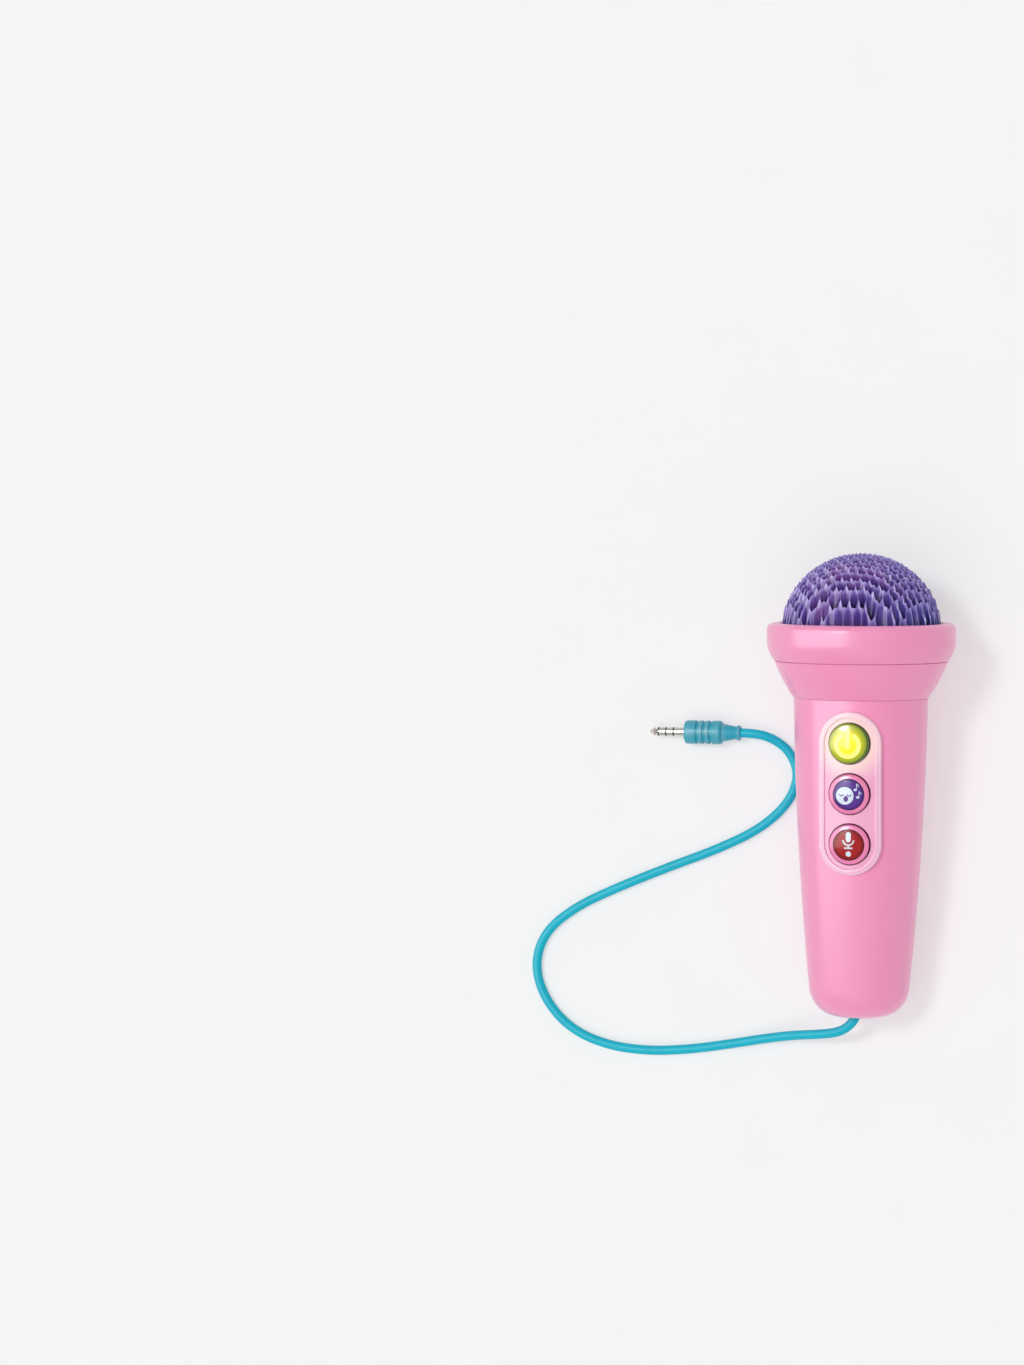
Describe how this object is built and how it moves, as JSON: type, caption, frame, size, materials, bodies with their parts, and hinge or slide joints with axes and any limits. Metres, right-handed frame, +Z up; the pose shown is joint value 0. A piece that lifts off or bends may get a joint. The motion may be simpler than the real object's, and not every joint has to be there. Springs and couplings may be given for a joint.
{
  "type": "toy microphone",
  "caption": "Child's toy microphone with an open domed grille, a flared collar, a tapered handle with push buttons on an oblong panel, and a thin cord ending in a small jack plug.",
  "frame": {"origin": "on the table under the middle of the microphone as it lies on its back (cord and plug not counted)", "axes": "+Y from the handle's end towards the grille, +Z up through the buttons, +X to the right when the grille points away"},
  "size_m": [0.1685, 0.1937, 0.071],
  "materials": {
    "pink_case": "glossy moulded ABS",
    "pink_bezel": "glossy moulded ABS",
    "button_pink": "glossy moulded ABS",
    "button_yellow": "translucent, lit from behind",
    "inlay_purple": "glossy, printed",
    "inlay_red": "glossy, printed",
    "grille_purple": "satin moulded ABS",
    "foam_indigo": "open-cell foam",
    "inner_plastic": "moulded ABS",
    "rubber_black": "soft",
    "silicone_grey": "silicone",
    "capsule_metal": "drawn can",
    "board_green": "solder mask",
    "resin_black": "epoxy",
    "components": "electronic parts",
    "led_clear": "clear resin",
    "connector_white": "nylon",
    "wire_insulation": "PVC",
    "screw_steel": "zinc plated",
    "cord_teal": "PVC jacket",
    "plug_teal": "moulded PVC",
    "jack_metal": "nickel plated",
    "jack_black": "nylon"
  },
  "bodies": {
    "handle": {"handle_front_shell": "pink_case", "handle_rear_shell": "pink_case", "case_screws": "screw_steel", "collar_cup": "pink_case", "collar_screws": "screw_steel", "grille_ring": "pink_case", "grille_dome": "grille_purple", "foam_liner": "foam_indigo", "capsule_mount": "inner_plastic", "capsule_boot": "rubber_black", "mic_capsule": "capsule_metal", "capsule_leads": "wire_insulation", "panel_bezel": "pink_bezel", "keypad_mat": "silicone_grey", "button_board": "board_green", "board_chip": "resin_black", "board_components": "components", "board_screws": "screw_steel", "power_leds": "led_clear", "capsule_connector": "connector_white", "cord_connector": "connector_white", "cord_leads": "wire_insulation", "cord_inner_end": "cord_teal", "cord_grommet": "rubber_black", "cord_clamp": "inner_plastic", "clamp_screws": "screw_steel", "cord": "cord_teal", "plug_relief": "plug_teal", "plug_grip": "plug_teal", "jack_sleeve": "jack_metal", "jack_ring_2": "jack_metal", "jack_ring_1": "jack_metal", "jack_tip": "jack_metal", "jack_insulators": "jack_black"},
    "power": {"power_button": "button_yellow"},
    "voice": {"voice_button": "button_pink", "voice_inlay": "inlay_purple"},
    "record": {"record_button": "button_pink", "record_inlay": "inlay_red"}
  },
  "joints": [
    {"name": "power_press", "type": "slide", "parent": "handle", "child": "power", "axis": [0, 0.1654, -0.9862], "range_m": [0, 0.0012], "stiffness_N_per_m": 600, "springref_m": -0.001, "deforming": ["keypad_mat"]},
    {"name": "voice_press", "type": "slide", "parent": "handle", "child": "voice", "axis": [0, 0.1654, -0.9862], "range_m": [0, 0.0012], "stiffness_N_per_m": 600, "springref_m": -0.001, "deforming": ["keypad_mat"]},
    {"name": "record_press", "type": "slide", "parent": "handle", "child": "record", "axis": [0, 0.1654, -0.9862], "range_m": [0, 0.0012], "stiffness_N_per_m": 600, "springref_m": -0.001, "deforming": ["keypad_mat"]}
  ]
}
